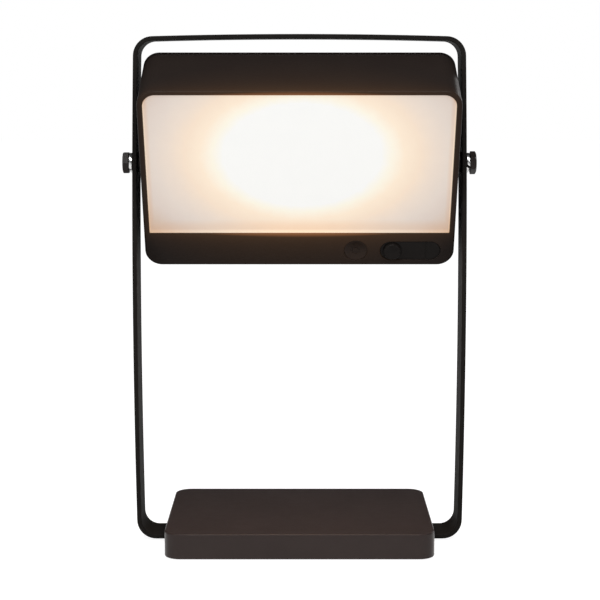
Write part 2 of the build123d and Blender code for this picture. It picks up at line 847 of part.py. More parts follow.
# Split spring washers: one turn of square wire, its ends parted by a slanted cut
def spring_washers():
    start = pivot_stack()[2]
    hole = bolt_radius + washer_fit
    wall = (washer_radius - hole) / 2
    ring = bar_x(washer_radius, start, start + washer_wire) - bar_x(hole, start - overrun, start + washer_wire + overrun)
    tail = bar_x(washer_radius, start + washer_wire, start + washer_thick)
    tail -= bar_x(hole, start, start + washer_thick + overrun)
    tail = tail & block(start, start + washer_thick, -washer_radius, 0, -washer_radius, washer_radius)
    cut = block(-washer_thick, washer_thick, -washer_split / 2, washer_split / 2, hole - wall, washer_radius + wall)
    middle = start + washer_thick / 2
    ring = ring + tail - Pos(middle, 0, 0) * Rot(0, 0, washer_slant) * cut
    return pair(ring)


# Spacers between the bar and the head
def pivot_spacers():
    inside = pivot_stack()[0]
    collar = bar_x(spacer_radius, head_half, inside - thrust_gap)
    collar -= bar_x(bolt_radius + washer_fit, head_half - overrun, inside + overrun)
    return pair(collar)


# Threaded brass inserts in the housing's pivot bosses
def pivot_inserts():
    outer = head_half - insert_shy
    insert = bar_x(insert_radius, outer - insert_long, outer)
    insert -= bar_x(bolt_radius + insert_fit, outer - insert_long - overrun, outer + overrun)
    return pair(insert)


stand_pieces = {
    "frame_loop": frame_loop,
    "frame_screws": frame_screws,
    "base_cover": base_cover,
    "base_weight": base_weight,
    "base_plate": base_plate,
    "base_feet": base_feet,
    "base_screws": base_screws,
}
head_pieces = {
    "head_housing": head_housing,
    "diffuser": diffuser,
    "diffuser_seal": diffuser_seal,
    "light_tray": light_tray,
    "lamp_board": lamp_board,
    "lamps": lamps,
    "lamp_screws": lamp_screws,
    "rear_cover": rear_cover,
    "rear_gasket": rear_gasket,
    "rear_screws": rear_screws,
    "solar_panel": solar_panel,
    "panel_tape": panel_tape,
    "cell_holder": cell_holder,
    "holder_screws": holder_screws,
    "cells": cells,
    "contacts": contacts,
    "control_board": control_board,
    "board_screws": board_screws,
    "switch_body": switch_body,
    "switch_plunger": switch_plunger,
    "power_button": power_button,
    "charging_socket": charging_socket,
    "port_cover": port_cover,
    "cover_anchor": cover_anchor,
    "pivot_bolts": pivot_bolts,
    "spring_washers": spring_washers,
    "pivot_spacers": pivot_spacers,
    "pivot_inserts": pivot_inserts,
}

os.makedirs("parts", exist_ok=True)
for name, make in stand_pieces.items():
    export_step(make(), f"parts/{name}.step")
for name, make in head_pieces.items():
    export_step(in_place(make()), f"parts/{name}.step")
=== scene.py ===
import json
from math import cos, pi, radians, sin, tan

import bmesh
import bpy
import numpy as np
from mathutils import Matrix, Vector


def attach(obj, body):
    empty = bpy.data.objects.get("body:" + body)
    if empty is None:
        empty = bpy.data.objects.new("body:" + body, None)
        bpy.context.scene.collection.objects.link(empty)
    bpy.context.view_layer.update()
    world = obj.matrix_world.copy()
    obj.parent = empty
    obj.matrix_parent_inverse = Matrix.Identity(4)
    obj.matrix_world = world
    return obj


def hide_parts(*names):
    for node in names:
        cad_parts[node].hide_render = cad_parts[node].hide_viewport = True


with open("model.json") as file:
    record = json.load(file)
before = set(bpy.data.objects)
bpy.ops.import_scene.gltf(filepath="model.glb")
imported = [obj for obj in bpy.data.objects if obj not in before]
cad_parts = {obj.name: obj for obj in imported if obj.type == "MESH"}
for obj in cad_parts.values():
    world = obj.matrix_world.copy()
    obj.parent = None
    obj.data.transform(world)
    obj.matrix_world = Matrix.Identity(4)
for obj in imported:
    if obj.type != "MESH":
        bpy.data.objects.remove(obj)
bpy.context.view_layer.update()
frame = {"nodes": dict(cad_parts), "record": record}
print("frame loaded:", len(frame["nodes"]), "nodes")

# Drawings are in millimetres. The head is drawn upright about its pivot, then tipped and lifted.
milli = 0.001
headPlace = {"pivot": 216.7, "tilt": 26.5}

# Steps round each corner of the larger outlines
cornerSteps = 14

# Signs of the left and right sides
sides = (-1, 1)

# Points nearer to each other than this, in metres, become one
mergeDistance = 1e-7


# Shapes


# Turned about X by the tilt, y' = y cos - z sin and z' = y sin + z cos, then lifted to the pivot
def tipped(points):
    turn = radians(headPlace["tilt"])
    x, y, z = points[..., 0], points[..., 1], points[..., 2]
    height = headPlace["pivot"] + y * sin(turn) + z * cos(turn)
    return np.stack([x, y * cos(turn) - z * sin(turn), height], -1)


# Rounded rectangle: each corner is a quarter circle about a centre that is its radius in from both sides.
# Corners come in the order lower right, upper right, upper left, lower left.
def roundedOutline(left, right, low, high, radii, steps=cornerSteps):
    radius = np.broadcast_to(np.asarray(radii, float), 4)[:, None]
    corner = np.array([[right, low], [right, high], [left, high], [left, low]], float)
    inward = np.array([[-1, 1], [-1, -1], [1, -1], [1, 1]], float)
    centre = corner + inward * radius
    turn = (np.arange(4) - 1)[:, None] * pi / 2 + np.linspace(0, pi / 2, steps + 1)[None, :]
    x, z = centre[:, :1] + radius * np.cos(turn), centre[:, 1:] + radius * np.sin(turn)
    return np.stack([x.ravel(), z.ravel()], -1)


# The same kind of outline about a middle, from its width and height
def middleOutline(middle, width, height, radii, steps=cornerSteps):
    x, z = middle
    return roundedOutline(x - width / 2, x + width / 2, z - height / 2, z + height / 2, radii, steps)


# The same kind of outline from a look's half width, low, high and corner, moved in by an inset
def insetOutline(look, inset, steps=cornerSteps):
    edges = inset - look["half"], look["half"] - inset, look["low"] + inset, look["high"] - inset
    return roundedOutline(*edges, np.asarray(look["corner"]) - inset, steps)


# A circle with as many points as a rounded rectangle, so that rows of both can follow each other
def circleOutline(middle, radius):
    return middleOutline(middle, 2 * radius, 2 * radius, radius)


# Outlines set in space: the front view at depth y, the plan at height z, and the side view at place x
def front(outline, y):
    return np.insert(outline, 1, y, axis=1)


def flat(outline, z):
    return np.insert(outline, 2, z, axis=1)


def across(outline, x):
    return np.insert(outline, 0, x, axis=1)


# Insets and depths round an edge of radius r: r (1 - cos a) and r (1 - sin a), for a up to a right angle
def edgeRound(radius, steps=4):
    turn = np.linspace(0, pi / 2, steps + 1)
    return list(zip(radius * (1 - np.cos(turn)), radius * (1 - np.sin(turn))))


# A profile of places along an axis and radii, carried once round the axis; either may change with the angle
def turned(profile, centre, axis, steps=48):
    turn = np.arange(steps) * 2 * pi / steps
    along = np.array([np.broadcast_to(place, steps) for place, radius in profile], float)
    radius = np.array([np.broadcast_to(radius, steps) for place, radius in profile], float)
    side, up = radius * np.cos(turn), radius * np.sin(turn)
    order = {"x": [along, side, up], "y": [side, along, up], "z": [side, up, along]}[axis]
    return np.stack(order, -1) + np.asarray(centre, float)


# Profiles to be turned: a rod, and a tube whose last row is joined to its first
def rod(start, end, radius):
    return [(start, radius), (end, radius)]


def tube(start, end, hole, radius):
    return [(start, hole), (start, radius), (end, radius), (end, hole)]


# Radius of a hexagon at each angle: half its width over the cosine of the angle from the nearest flat
def hexRadius(flats, start=0.0, steps=48):
    turn = np.arange(steps) * 2 * pi / steps - start
    return flats / 2 / np.cos((turn + pi / 6) % (pi / 3) - pi / 6)


# Face (i, k) joins columns k and k + 1 of rows i and i + 1; columns close, and rows too where they are joined
def gridFaces(rows, columns, start, joined):
    i = np.arange(rows if joined else rows - 1)[:, None]
    k = np.arange(columns)[None, :]
    near, far, beside = i * columns, (i + 1) % rows * columns, (k + 1) % columns
    return (np.stack([near + k, near + beside, far + beside, far + k], -1).reshape(-1, 4) + start).tolist()


# Each surface is rows of points and how the rows end: "capped" at both ends, or "joined" last to first
def surfaceMesh(name, surfaces, tip=True):
    points, faces, start = [], [], 0
    for grid, ends in surfaces:
        grid = np.stack(grid)
        rows, columns = grid.shape[:2]
        faces += gridFaces(rows, columns, start, ends == "joined")
        last = start + (rows - 1) * columns
        if ends == "capped":
            faces += [list(range(start, start + columns))[::-1], list(range(last, last + columns))]
        points.append(grid.reshape(-1, 3))
        start += rows * columns
    points = np.concatenate(points)
    points = tipped(points) if tip else points
    mesh = bpy.data.meshes.new(name)
    mesh.from_pydata((points * milli).tolist(), [], faces)
    shell = bmesh.new()
    shell.from_mesh(mesh)
    bmesh.ops.remove_doubles(shell, verts=shell.verts, dist=mergeDistance)
    bmesh.ops.dissolve_degenerate(shell, edges=shell.edges, dist=mergeDistance)
    bmesh.ops.recalc_face_normals(shell, faces=shell.faces)
    shell.to_mesh(mesh)
    shell.free()
    return mesh


def cappedMesh(name, rows, tip=True):
    return surfaceMesh(name, [(rows, "capped")], tip)


# A new object in the scene
def addObject(name, data):
    thing = bpy.data.objects.new(name, data)
    bpy.context.scene.collection.objects.link(thing)
    return thing


# The mesh with each cutter taken away in turn
def cutAway(mesh, cutters):
    work = addObject("work", mesh)
    tools = [addObject("cutter", cutter) for cutter in cutters]
    for tool in tools:
        cut = work.modifiers.new("cut", "BOOLEAN")
        cut.operation, cut.solver, cut.object = "DIFFERENCE", "EXACT", tool
    bpy.context.view_layer.update()
    result = bpy.data.meshes.new_from_object(work.evaluated_get(bpy.context.evaluated_depsgraph_get()))
    for thing in [work, *tools]:
        bpy.data.objects.remove(thing)
    return result


# Several meshes as one
def together(name, meshes):
    whole = bmesh.new()
    for mesh in meshes:
        whole.from_mesh(mesh)
    joined = bpy.data.meshes.new(name)
    whole.to_mesh(joined)
    whole.free()
    return joined


# Puts a mesh in the scene on its body, in place of its CAD nodes, with its finish. Edges over the angle
# stay sharp.
def setPiece(name, mesh, body, nodes, slotName, sharp=32):
    mesh.name = name
    mesh.materials.clear()
    mesh.materials.append(finishOf[slotName])
    mesh.shade_smooth()
    mesh.set_sharp_from_angle(angle=radians(sharp))
    piece = addObject(name, mesh)
    even = piece.modifiers.new("even shading", "WEIGHTED_NORMAL")
    even.keep_sharp = True
    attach(piece, body)
    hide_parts(*nodes)
    print("piece", name, len(mesh.polygons), "faces")


# Materials


# Gives a socket a constant, or a link from another node
def fill(tree, socket, value):
    if isinstance(value, bpy.types.NodeSocket):
        tree.links.new(value, socket)
    else:
        socket.default_value = value


# Fills a node's sockets by name or number
def fillAll(tree, node, values):
    for name, value in values.items():
        fill(tree, node.inputs[name], value)
    return node


def addNode(tree, kind, values):
    return fillAll(tree, tree.nodes.new(kind), values)


# A new material with one shader, and the coordinates of its own object
def startMaterial(name):
    material = bpy.data.materials.new(name)
    material.use_nodes = True
    tree = material.node_tree
    tree.nodes.clear()
    shader = tree.nodes.new("ShaderNodeBsdfPrincipled")
    result = tree.nodes.new("ShaderNodeOutputMaterial")
    tree.links.new(shader.outputs["BSDF"], result.inputs["Surface"])
    place = tree.nodes.new("ShaderNodeTexCoord").outputs["Object"]
    return material, tree, shader, place


def addMapping(tree, vector, values):
    return addNode(tree, "ShaderNodeMapping", {"Vector": vector, **values}).outputs["Vector"]


# Noise with features of about the given size in millimetres
def addNoise(tree, place, size, detail=3.0, rough=0.55):
    values = {"Vector": place, "Scale": 1 / (size * milli), "Detail": detail, "Roughness": rough}
    return addNode(tree, "ShaderNodeTexNoise", values).outputs["Fac"]


# Stops are places from 0 to 1 and linear colours
def addRamp(tree, value, stops):
    ramp = addNode(tree, "ShaderNodeValToRGB", {"Fac": value})
    points = ramp.color_ramp.elements
    while len(points) < len(stops):
        points.new(0.5)
    for point, (place, colour) in zip(points, stops):
        point.position = place
        point.color = (*colour, 1.0)
    return ramp.outputs["Color"]


# Two tones: the value's colour goes from the first to the second between start and end
def addTones(tree, value, tones, start=0.3, end=0.7):
    return addRamp(tree, value, list(zip((start, end), tones)))


def addMath(tree, operation, first, second=0.0):
    reckon = tree.nodes.new("ShaderNodeMath")
    reckon.operation = operation
    return fillAll(tree, reckon, {0: first, 1: second}).outputs["Value"]


# A value spread over the range from low to high. Noise, the usual value, lies mostly between 0.3 and 0.7.
def addRange(tree, value, low, high, start=0.3, end=0.7):
    values = {"Value": value, "From Min": start, "From Max": end, "To Min": low, "To Max": high}
    return addNode(tree, "ShaderNodeMapRange", values).outputs["Result"]


# The depth is in millimetres
def addBump(tree, shader, height, depth):
    bump = addNode(tree, "ShaderNodeBump", {"Distance": depth * milli, "Strength": 1.0, "Height": height})
    tree.links.new(bump.outputs["Normal"], shader.inputs["Normal"])


def addParts(tree, vector):
    parts = addNode(tree, "ShaderNodeSeparateXYZ", {"Vector": vector})
    return [parts.outputs[name] for name in "XYZ"]


def addLength(tree, vector):
    length = tree.nodes.new("ShaderNodeVectorMath")
    length.operation = "LENGTH"
    return fillAll(tree, length, {0: vector}).outputs["Value"]


# Two colours mixed, each of them a tuple or another node's colour
def mixColours(tree, amount, first, second, blend="MIX"):
    mix = tree.nodes.new("ShaderNodeMix")
    mix.data_type, mix.blend_type = "RGBA", blend
    fill(tree, mix.inputs["Factor"], amount)
    targets = [socket for socket in mix.inputs if socket.type == "RGBA"]
    for target, colour in zip(targets, (first, second)):
        fill(tree, target, (*colour, 1.0) if isinstance(colour, tuple) else colour)
    return [socket for socket in mix.outputs if socket.type == "RGBA"][0]


# Linear colour from a fairly light one as a screen shows it, 0 to 255
def srgb(colour):
    return tuple(((c / 255 + 0.055) / 1.055) ** 2.4 for c in colour)


# Coordinates in millimetres in the head's own front view: x across, y up the face, z out of the face
def headView(tree, place):
    turn = radians(-headPlace["tilt"] - 90)
    drop = (0, headPlace["pivot"] * sin(turn), -headPlace["pivot"] * cos(turn))
    return addMapping(tree, place, {"Scale": (1 / milli,) * 3, "Rotation": (turn, 0, 0), "Location": drop})


# Grained finishes: two tones in soft clouds, a fine grain in the bump, and a roughness that wanders a
# little. Each row has the tones, then sizes of clouds, grain and bump in millimetres, roughness, gloss and
# the share of metal.
grainFinishes = {
    "bar_black": ((0.0122, 0.0108, 0.01), (0.0145, 0.013, 0.012), 14, 0.55, 0.05, (0.6, 0.66), 0.02),
    "base_bronze": ((0.0318, 0.0231, 0.0216), (0.0362, 0.0264, 0.0246), 20, 0.6, 0.03, (0.28, 0.31), 0.13),
    "head_bronze": ((0.0182, 0.0134, 0.0117), (0.0195, 0.0145, 0.0126), 22, 0.6, 0.04, (0.34, 0.37), 0.05),
    "iron": ((0.11, 0.105, 0.1), (0.2, 0.19, 0.18), 6, 0.9, 0.12, (0.5, 0.75), 0.5, 0.8),
    "plate_black": ((0.018, 0.018, 0.018), (0.026, 0.026, 0.026), 9, 0.35, 0.03, (0.5, 0.62), 0.4),
    "rubber_black": ((0.014, 0.014, 0.014), (0.022, 0.022, 0.022), 5, 0.25, 0.02, (0.7, 0.85), 0.3),
    "rubber_grey": ((0.0088, 0.0073, 0.0066), (0.0106, 0.0088, 0.008), 5, 0.22, 0.01, (0.28, 0.32), 0.06),
    "tray_white": ((0.82, 0.82, 0.81), (0.9, 0.9, 0.89), 12, 0.4, 0.02, (0.35, 0.5), 0.5),
    "tape_grey": ((0.24, 0.24, 0.24), (0.34, 0.34, 0.34), 2, 0.4, 0.1, (0.8, 0.95), 0.3),
    "cell_sleeve": ((0.06, 0.16, 0.32), (0.1, 0.25, 0.46), 20, 2.5, 0.05, (0.18, 0.3), 0.5),
    "button_bronze": ((0.0226, 0.0138, 0.0098), (0.0252, 0.0154, 0.011), 4, 0.3, 0.01, (0.27, 0.31), 0.08),
    "seal_black": ((0.014, 0.014, 0.014), (0.03, 0.03, 0.03), 1.5, 0.35, 0.12, (0.85, 0.95), 0.2),
    "steel_black": ((0.0165, 0.0128, 0.0118), (0.024, 0.0185, 0.017), 2.5, 0.3, 0.012, (0.34, 0.44), 0.14),
}

# Finishes that get a painted glow, as emission, of the window's light straying on to them: the window's half
# width, foot, top and face, and how it fades
paintedStrayLight = {"head_bronze": {
    "window": (85.0, -33.3, 54.1, 22.6), "reach": 6.0, "wane": 105.0,
    "stops": [(0.13, (0.0, 0.0, 0.0)), (0.71, (0.035, 0.0155, 0.0045)), (1.0, (0.26, 0.1, 0.035))],
}}

# A pit's cell is the grain's size over this
pitShare = 0.55


def grainFinish(name, dark, light, clouds, grain, depth, rough, specular, metallic=0.0):
    material, tree, shader, place = startMaterial(name)
    pits = tree.nodes.new("ShaderNodeTexVoronoi")
    pits.feature = "SMOOTH_F1"
    fillAll(tree, pits, {"Vector": place, "Scale": pitShare / (grain * milli)})
    fine = addNoise(tree, place, grain, 2.0)
    addBump(tree, shader, addMath(tree, "ADD", fine, pits.outputs["Distance"]), depth)
    fillAll(tree, shader, {
        "Base Color": addTones(tree, addNoise(tree, place, clouds, 4.0), (dark, light), 0.32),
        "Roughness": addRange(tree, addNoise(tree, place, clouds / 3), *rough),
        "Specular IOR Level": specular,
        "Metallic": metallic,
    })
    # The window's stray light is painted on to this finish as emission
    if name in paintedStrayLight:
        addPaintedStrayLight(tree, shader, place, paintedStrayLight[name])
    return material


# Painted glow: emission on the coat round the window that stands in for warm light straying from the window
# on to it. Its measure is reach / (reach + distance) from the window's edge, times 1 - (place across / wane)
# squared. The last stop paints a highlight on the window's lip only.
def addPaintedStrayLight(tree, shader, place, paintedLight):
    half, low, high, face = paintedLight["window"]
    x, y, z = addParts(tree, headView(tree, place))
    away = addMath(tree, "ABSOLUTE", x)
    beside = addMath(tree, "SUBTRACT", away, half)
    above = addMath(tree, "MAXIMUM", addMath(tree, "SUBTRACT", low, y), addMath(tree, "SUBTRACT", y, high))
    behind = addMath(tree, "SUBTRACT", face, z)
    beyond = {i: addMath(tree, "MAXIMUM", gap, 0.0) for i, gap in enumerate((beside, above, behind))}
    distance = addLength(tree, addNode(tree, "ShaderNodeCombineXYZ", beyond).outputs["Vector"])
    left = addMath(tree, "DIVIDE", paintedLight["reach"], addMath(tree, "ADD", distance, paintedLight["reach"]))
    spent = addMath(tree, "POWER", addMath(tree, "DIVIDE", away, paintedLight["wane"]), 2.0)
    wane = addMath(tree, "MAXIMUM", addMath(tree, "SUBTRACT", 1.0, spent), 0.0)
    # warm is the colour of the painted glow, which goes in as emission below
    warm = addRamp(tree, addMath(tree, "MULTIPLY", left, wane), paintedLight["stops"])
    fillAll(tree, shader, {"Emission Color": warm, "Emission Strength": 1.0})


# Turned and plated metals: fine lines round the X axis, from noise drawn out along Y and Z. Each row has
# the tones, the sizes of the lines and the bump in millimetres, and the roughness.
metalFinishes = {
    "steel": ((0.5, 0.5, 0.5), (0.68, 0.68, 0.67), 0.12, 0.006, (0.22, 0.36)),
    "brass": ((0.58, 0.42, 0.18), (0.74, 0.57, 0.28), 0.15, 0.006, (0.25, 0.38)),
}
metalStretch = (1.0, 0.12, 0.12)


def metalFinish(name, dark, light, size, depth, rough):
    material, tree, shader, place = startMaterial(name)
    lines = addNoise(tree, addMapping(tree, place, {"Scale": metalStretch}), size, 3.0, 0.6)
    addBump(tree, shader, lines, depth)
    tone = addTones(tree, lines, (dark, light))
    fillAll(tree, shader, {"Base Color": tone, "Roughness": addRange(tree, lines, *rough), "Metallic": 1.0})
    return material


# Frosted sheet lit from behind: the glow falls off with the elliptical distance from the lamps' middle, in
# units of the reach. The stops' colours are as a screen shows them. The border lies along the foot and the
# sides, and the border's stops multiply the glow. The sheet's own tone gives back a share of the studio's
# light.
glow = {
    "middle": (1.5, 17.0), "reach": (44.5, 32.5), "span": 2.5,
    "stops": [
        (0.0, (248, 248, 246)), (0.98, (248, 248, 246)), (1.1, (252, 246, 231)), (1.27, (253, 234, 212)),
        (1.45, (246, 226, 205)), (1.65, (236, 220, 206)), (1.85, (227, 214, 204)), (2.05, (220, 206, 197)),
        (2.4, (208, 184, 165)),
    ],
    "half": 84.85, "foot": -33.15, "border": 9.0, "sideShare": 0.35,
    "borderStops": [
        (0.0, (1.3, 1.24, 1.05)), (0.18, (1.24, 1.12, 0.93)), (0.3, (1.02, 0.88, 0.73)),
        (0.55, (1.0, 0.88, 0.76)), (1.0, (1.0, 1.0, 1.0)),
    ],
    "sheet": 0.3, "studio": 0.75,
    "frost": {"size": 6.0, "wander": 0.006},
    "grain": {"size": 0.4, "depth": 0.01},
    "milk": {"size": 10.0, "tones": ((0.97, 0.97, 0.96), (1.02, 1.02, 1.0))},
    "rough": (0.42, 0.5),
    "specular": 0.25,
}


# The sheet's border: a pale line at the very edge, then a warmer zone, by the distance from the foot or, on a
# shorter scale, from the nearest side
def edgeGlow(tree, view, colour):
    x, y = addParts(tree, view)[:2]
    side = addMath(tree, "SUBTRACT", glow["half"], addMath(tree, "ABSOLUTE", x))
    side = addMath(tree, "DIVIDE", side, glow["sideShare"])
    low = addMath(tree, "SUBTRACT", y, glow["foot"])
    near = addMath(tree, "DIVIDE", addMath(tree, "MINIMUM", side, low), glow["border"])
    return mixColours(tree, 1.0, colour, addRamp(tree, near, glow["borderStops"]), "MULTIPLY")


def glowFinish(name):
    material, tree, shader, place = startMaterial(name)
    view = headView(tree, place)
    scale = [1 / (reach * glow["span"]) for reach in glow["reach"]]
    shift = [-middle * share for middle, share in zip(glow["middle"], scale)]
    oval = addMapping(tree, view, {"Scale": (*scale, 0), "Location": (*shift, 0)})
    frost, grain, milk, sheet = glow["frost"], glow["grain"], glow["milk"], glow["sheet"]
    wander = addRange(tree, addNoise(tree, place, frost["size"], 4.0), -frost["wander"], frost["wander"])
    distance = addMath(tree, "ADD", addLength(tree, oval), wander)
    given = sheet * glow["studio"]
    stops = [(away / glow["span"], tuple(c - given for c in srgb(colour))) for away, colour in glow["stops"]]
    fine = addNoise(tree, place, grain["size"], 2.0)
    addBump(tree, shader, fine, grain["depth"])
    tones = [tuple(sheet * share for share in tone) for tone in milk["tones"]]
    fillAll(tree, shader, {
        "Emission Color": edgeGlow(tree, view, addRamp(tree, distance, stops)),
        "Emission Strength": 1.0,
        "Base Color": addTones(tree, addNoise(tree, place, milk["size"]), tones),
        "Roughness": addRange(tree, fine, *glow["rough"]),
        "Specular IOR Level": glow["specular"],
    })
    return material


# Solar laminate: dark blue cells parted by thin gaps, with fine pale fingers and two bus bars along each cell
solarLook = {
    "cell": (24.6, 38.8), "cellShift": (0.0, -1.0), "gap": 0.8, "gapTone": (0.012, 0.012, 0.014),
    "finger": 1.9, "fingerLine": 0.12, "fingerTone": (0.1, 0.11, 0.13),
    "bus": 12.3, "busShift": (6.15, 0.0), "busLine": 0.7, "busTone": (0.34, 0.35, 0.37),
    "tones": ((0.008, 0.012, 0.032), (0.014, 0.022, 0.055)), "rough": (0.1, 0.18), "depth": 0.004,
}

# Longer than any piece, in millimetres
endless = 1000.0


# Lines of a grid of cells in the head's front view
def gridLines(tree, view, width, height, line, shift=(0.0, 0.0)):
    bricks = tree.nodes.new("ShaderNodeTexBrick")
    bricks.offset, bricks.squash = 0.0, 1.0
    fillAll(tree, bricks, {
        "Vector": addMapping(tree, view, {"Location": (*shift, 0)}), "Scale": 1.0, "Mortar Size": line / 2,
        "Mortar Smooth": 0.1, "Brick Width": width, "Row Height": height,
    })
    return bricks.outputs["Fac"]


def solarFinish(name):
    look = solarLook
    material, tree, shader, place = startMaterial(name)
    view = headView(tree, place)
    grain = addNoise(tree, place, 5.0, 5.0, 0.7)
    colour = addTones(tree, grain, look["tones"])
    fingers = gridLines(tree, view, endless, look["finger"], look["fingerLine"])
    bars = gridLines(tree, view, look["bus"], endless, look["busLine"], look["busShift"])
    gaps = gridLines(tree, view, *look["cell"], look["gap"], look["cellShift"])
    for lines, tone in ((fingers, look["fingerTone"]), (bars, look["busTone"]), (gaps, look["gapTone"])):
        colour = mixColours(tree, lines, colour, tone)
    addBump(tree, shader, addNoise(tree, place, 3.0), look["depth"])
    fillAll(tree, shader, {
        "Base Color": colour,
        "Roughness": addRange(tree, addNoise(tree, place, 20.0), *look["rough"]),
        "Coat Weight": 0.6,
        "Coat Roughness": 0.08,
    })
    return material


# Circuit boards: solder mask over a grid of tracks that show through. Each row has both tones and the pitch.
boardFinishes = {
    "board_green": ((0.012, 0.07, 0.03), (0.03, 0.13, 0.06), 2.4),
    "board_white": ((0.78, 0.79, 0.78), (0.66, 0.67, 0.66), 6.5),
}
boardTrack = {"line": 0.35, "depth": 0.03, "rough": (0.3, 0.42)}


def boardFinish(name, mask, track, pitch):
    material, tree, shader, place = startMaterial(name)
    tracks = gridLines(tree, headView(tree, place), pitch * 3, pitch, boardTrack["line"])
    addBump(tree, shader, tracks, boardTrack["depth"])
    rough = addRange(tree, addNoise(tree, place, 3.0), *boardTrack["rough"])
    fillAll(tree, shader, {"Base Color": mixColours(tree, tracks, mask, track), "Roughness": rough})
    return material


# Lamp chips: warm phosphor in small grains, which glows a little
lampLook = {
    "grain": 0.5, "rough": (0.25, 0.4), "glow": 0.4,
    "stops": [(0.0, (0.9, 0.62, 0.16)), (0.6, (0.95, 0.78, 0.34))],
}


def lampFinish(name):
    material, tree, shader, place = startMaterial(name)
    values = {"Vector": place, "Scale": 1 / (lampLook["grain"] * milli)}
    grains = addNode(tree, "ShaderNodeTexVoronoi", values).outputs["Distance"]
    warm = addRamp(tree, grains, lampLook["stops"])
    fillAll(tree, shader, {
        "Base Color": warm,
        "Roughness": addRange(tree, addNoise(tree, place, 0.6), *lampLook["rough"]),
        "Emission Color": warm,
        "Emission Strength": lampLook["glow"],
    })
    return material


finishOf = {}
kinds = (grainFinish, grainFinishes), (metalFinish, metalFinishes), (boardFinish, boardFinishes)
for makeFinish, looks in kinds:
    finishOf.update({name: makeFinish(name, *look) for name, look in looks.items()})
finishOf["diffuser_white"] = glowFinish("diffuser_white")
finishOf["panel_blue"] = solarFinish("panel_blue")
finishOf["lamp_amber"] = lampFinish("lamp_amber")

# Every CAD node takes the finish of its slot in the record
for part in frame["record"]["subparts"]:
    node = frame["nodes"][part["node"]]
    node.data.materials.clear()
    node.data.materials.append(finishOf[part["material_slot"]])
print("finishes set:", len(finishOf))

# Loop of flat bar. Its widths are at the foot, half way up and at the top; the arch is the rise of its top.

loopBar = {
    "low": 1.5, "high": 288.65, "arch": 1.5, "widths": (185.9, 188.4, 184.6),
    "bend": 11.0, "width": 24.0, "thick": 2.5, "edge": 0.45,
    "screws": (-52.0, -28.0, 28.0, 52.0), "sink": [(0.8, 4.78), (3.6, 2.25), (5.0, 2.25)], "pivotHole": 3.08,
    "sideSteps": 70, "flatSteps": 50, "bendSteps": 12,
}


# Half width and slope of the sides at height z: a shallow circle through three widths, leaning a little
def loopSide(z):
    rise = (loopBar["high"] - loopBar["arch"] - loopBar["low"]) / 2
    low, middle, top = (width / 2 for width in loopBar["widths"])
    chord = np.hypot(2 * rise, top - low)
    bow = middle - (low + top) / 2
    radius = (chord * chord / 4 + bow * bow) / (2 * bow)
    lean = (top - low) / chord
    along = z - loopBar["low"] - rise
    depth = np.sqrt(radius * radius - along * along)
    return middle - radius + depth + lean * along, -along / depth + lean


# The bar's section carried round the loop. The path is the outer face moved in by the bend radius, so its
# corners are points where only the normal turns, and a section point lies along the normal by the bend less
# its own inset. A few rounds find the height at which the paths of the sides and the arch meet.
def loopSurface():
    bend, high, arch = loopBar["bend"], loopBar["high"], loopBar["arch"]
    flatSteps, bendSteps = loopBar["flatSteps"], loopBar["bendSteps"]
    top = loopBar["widths"][2] / 2
    archRadius = (top * top + arch * arch) / (2 * arch)
    lowZ, highZ = loopBar["low"] + bend, high - arch - bend
    for again in range(4):
        reach = loopSide(highZ)[0] - bend
        highZ = high - archRadius + np.sqrt(archRadius**2 - reach**2) - bend
    sideZ = np.linspace(lowZ, highZ, loopBar["sideSteps"])
    half, slope = loopSide(sideZ)
    sideX, sideTurn = half - bend, -np.arctan(slope)
    topX = np.linspace(sideX[-1], -sideX[-1], flatSteps)
    topZ = high - archRadius + np.sqrt(archRadius**2 - topX**2) - bend
    topTurn = pi / 2 - np.arcsin(topX / archRadius)
    lowX = np.linspace(-sideX[0], sideX[0], flatSteps)
    runs = [
        (sideX, sideZ, sideTurn),
        (topX, topZ, topTurn),
        (-sideX[::-1], sideZ[::-1], pi - sideTurn[::-1]),
        (lowX, np.full(flatSteps, lowZ), np.full(flatSteps, 1.5 * pi)),
    ]
    xs, zs, turns = [], [], []
    for run, after in zip(runs, runs[1:] + runs[:1]):
        nextTurn = after[2][0] + (2 * pi if after is runs[0] else 0.0)
        bendTurn = np.linspace(run[2][-1], nextTurn, bendSteps + 2)[1:-1]
        xs += [run[0], np.full(bendSteps, run[0][-1])]
        zs += [run[1], np.full(bendSteps, run[1][-1])]
        turns += [run[2], bendTurn]
    x, z, turn = (np.concatenate(part)[:, None] for part in (xs, zs, turns))
    half = loopBar["width"] / 2
    section = roundedOutline(0, loopBar["thick"], -half, half, loopBar["edge"], 4)
    out = bend - section[:, 0][None, :]
    depth = np.broadcast_to(section[:, 1], (len(x), len(section)))
    return np.stack([x + out * np.cos(turn), depth, z + out * np.sin(turn)], -1)


pivotHole = turned(rod(-100, 100, loopBar["pivotHole"]), (0, 0, headPlace["pivot"]), "x")
barCutters = [cappedMesh("pivotHole", pivotHole, False)]
for place in loopBar["screws"]:
    barCutters.append(cappedMesh("screwSink", turned(loopBar["sink"], (place, 0, 0), "z", 36), False))
barMesh = cutAway(surfaceMesh("loopBar", [(loopSurface(), "joined")], False), barCutters)
setPiece("loop_bar", barMesh, "stand", ["frame_loop"], "bar_black", sharp=40)

# Base cover, hollow below, with a notch at each end for the loop's foot and a screw post in each corner

baseCover = {
    "width": 150.0, "depth": 99.0, "top": 15.0, "low": 0.8, "corner": 9.2, "edge": 0.9, "lowEdge": 0.35,
    "wall": 2.0, "ceiling": 13.0, "rim": 0.2,
    "notch": {"half": 12.3, "low": -1.0, "high": 4.3, "corner": (0.4, 0.8, 0.8, 0.4)}, "notchReach": 76.0,
    "posts": (64.0, 39.0), "postLow": 5.0, "postHole": 1.52, "postRadius": 3.5,
}


def baseOutline(inset):
    size = baseCover["width"] - 2 * inset, baseCover["depth"] - 2 * inset
    return middleOutline((0, 0), *size, baseCover["corner"] - inset)


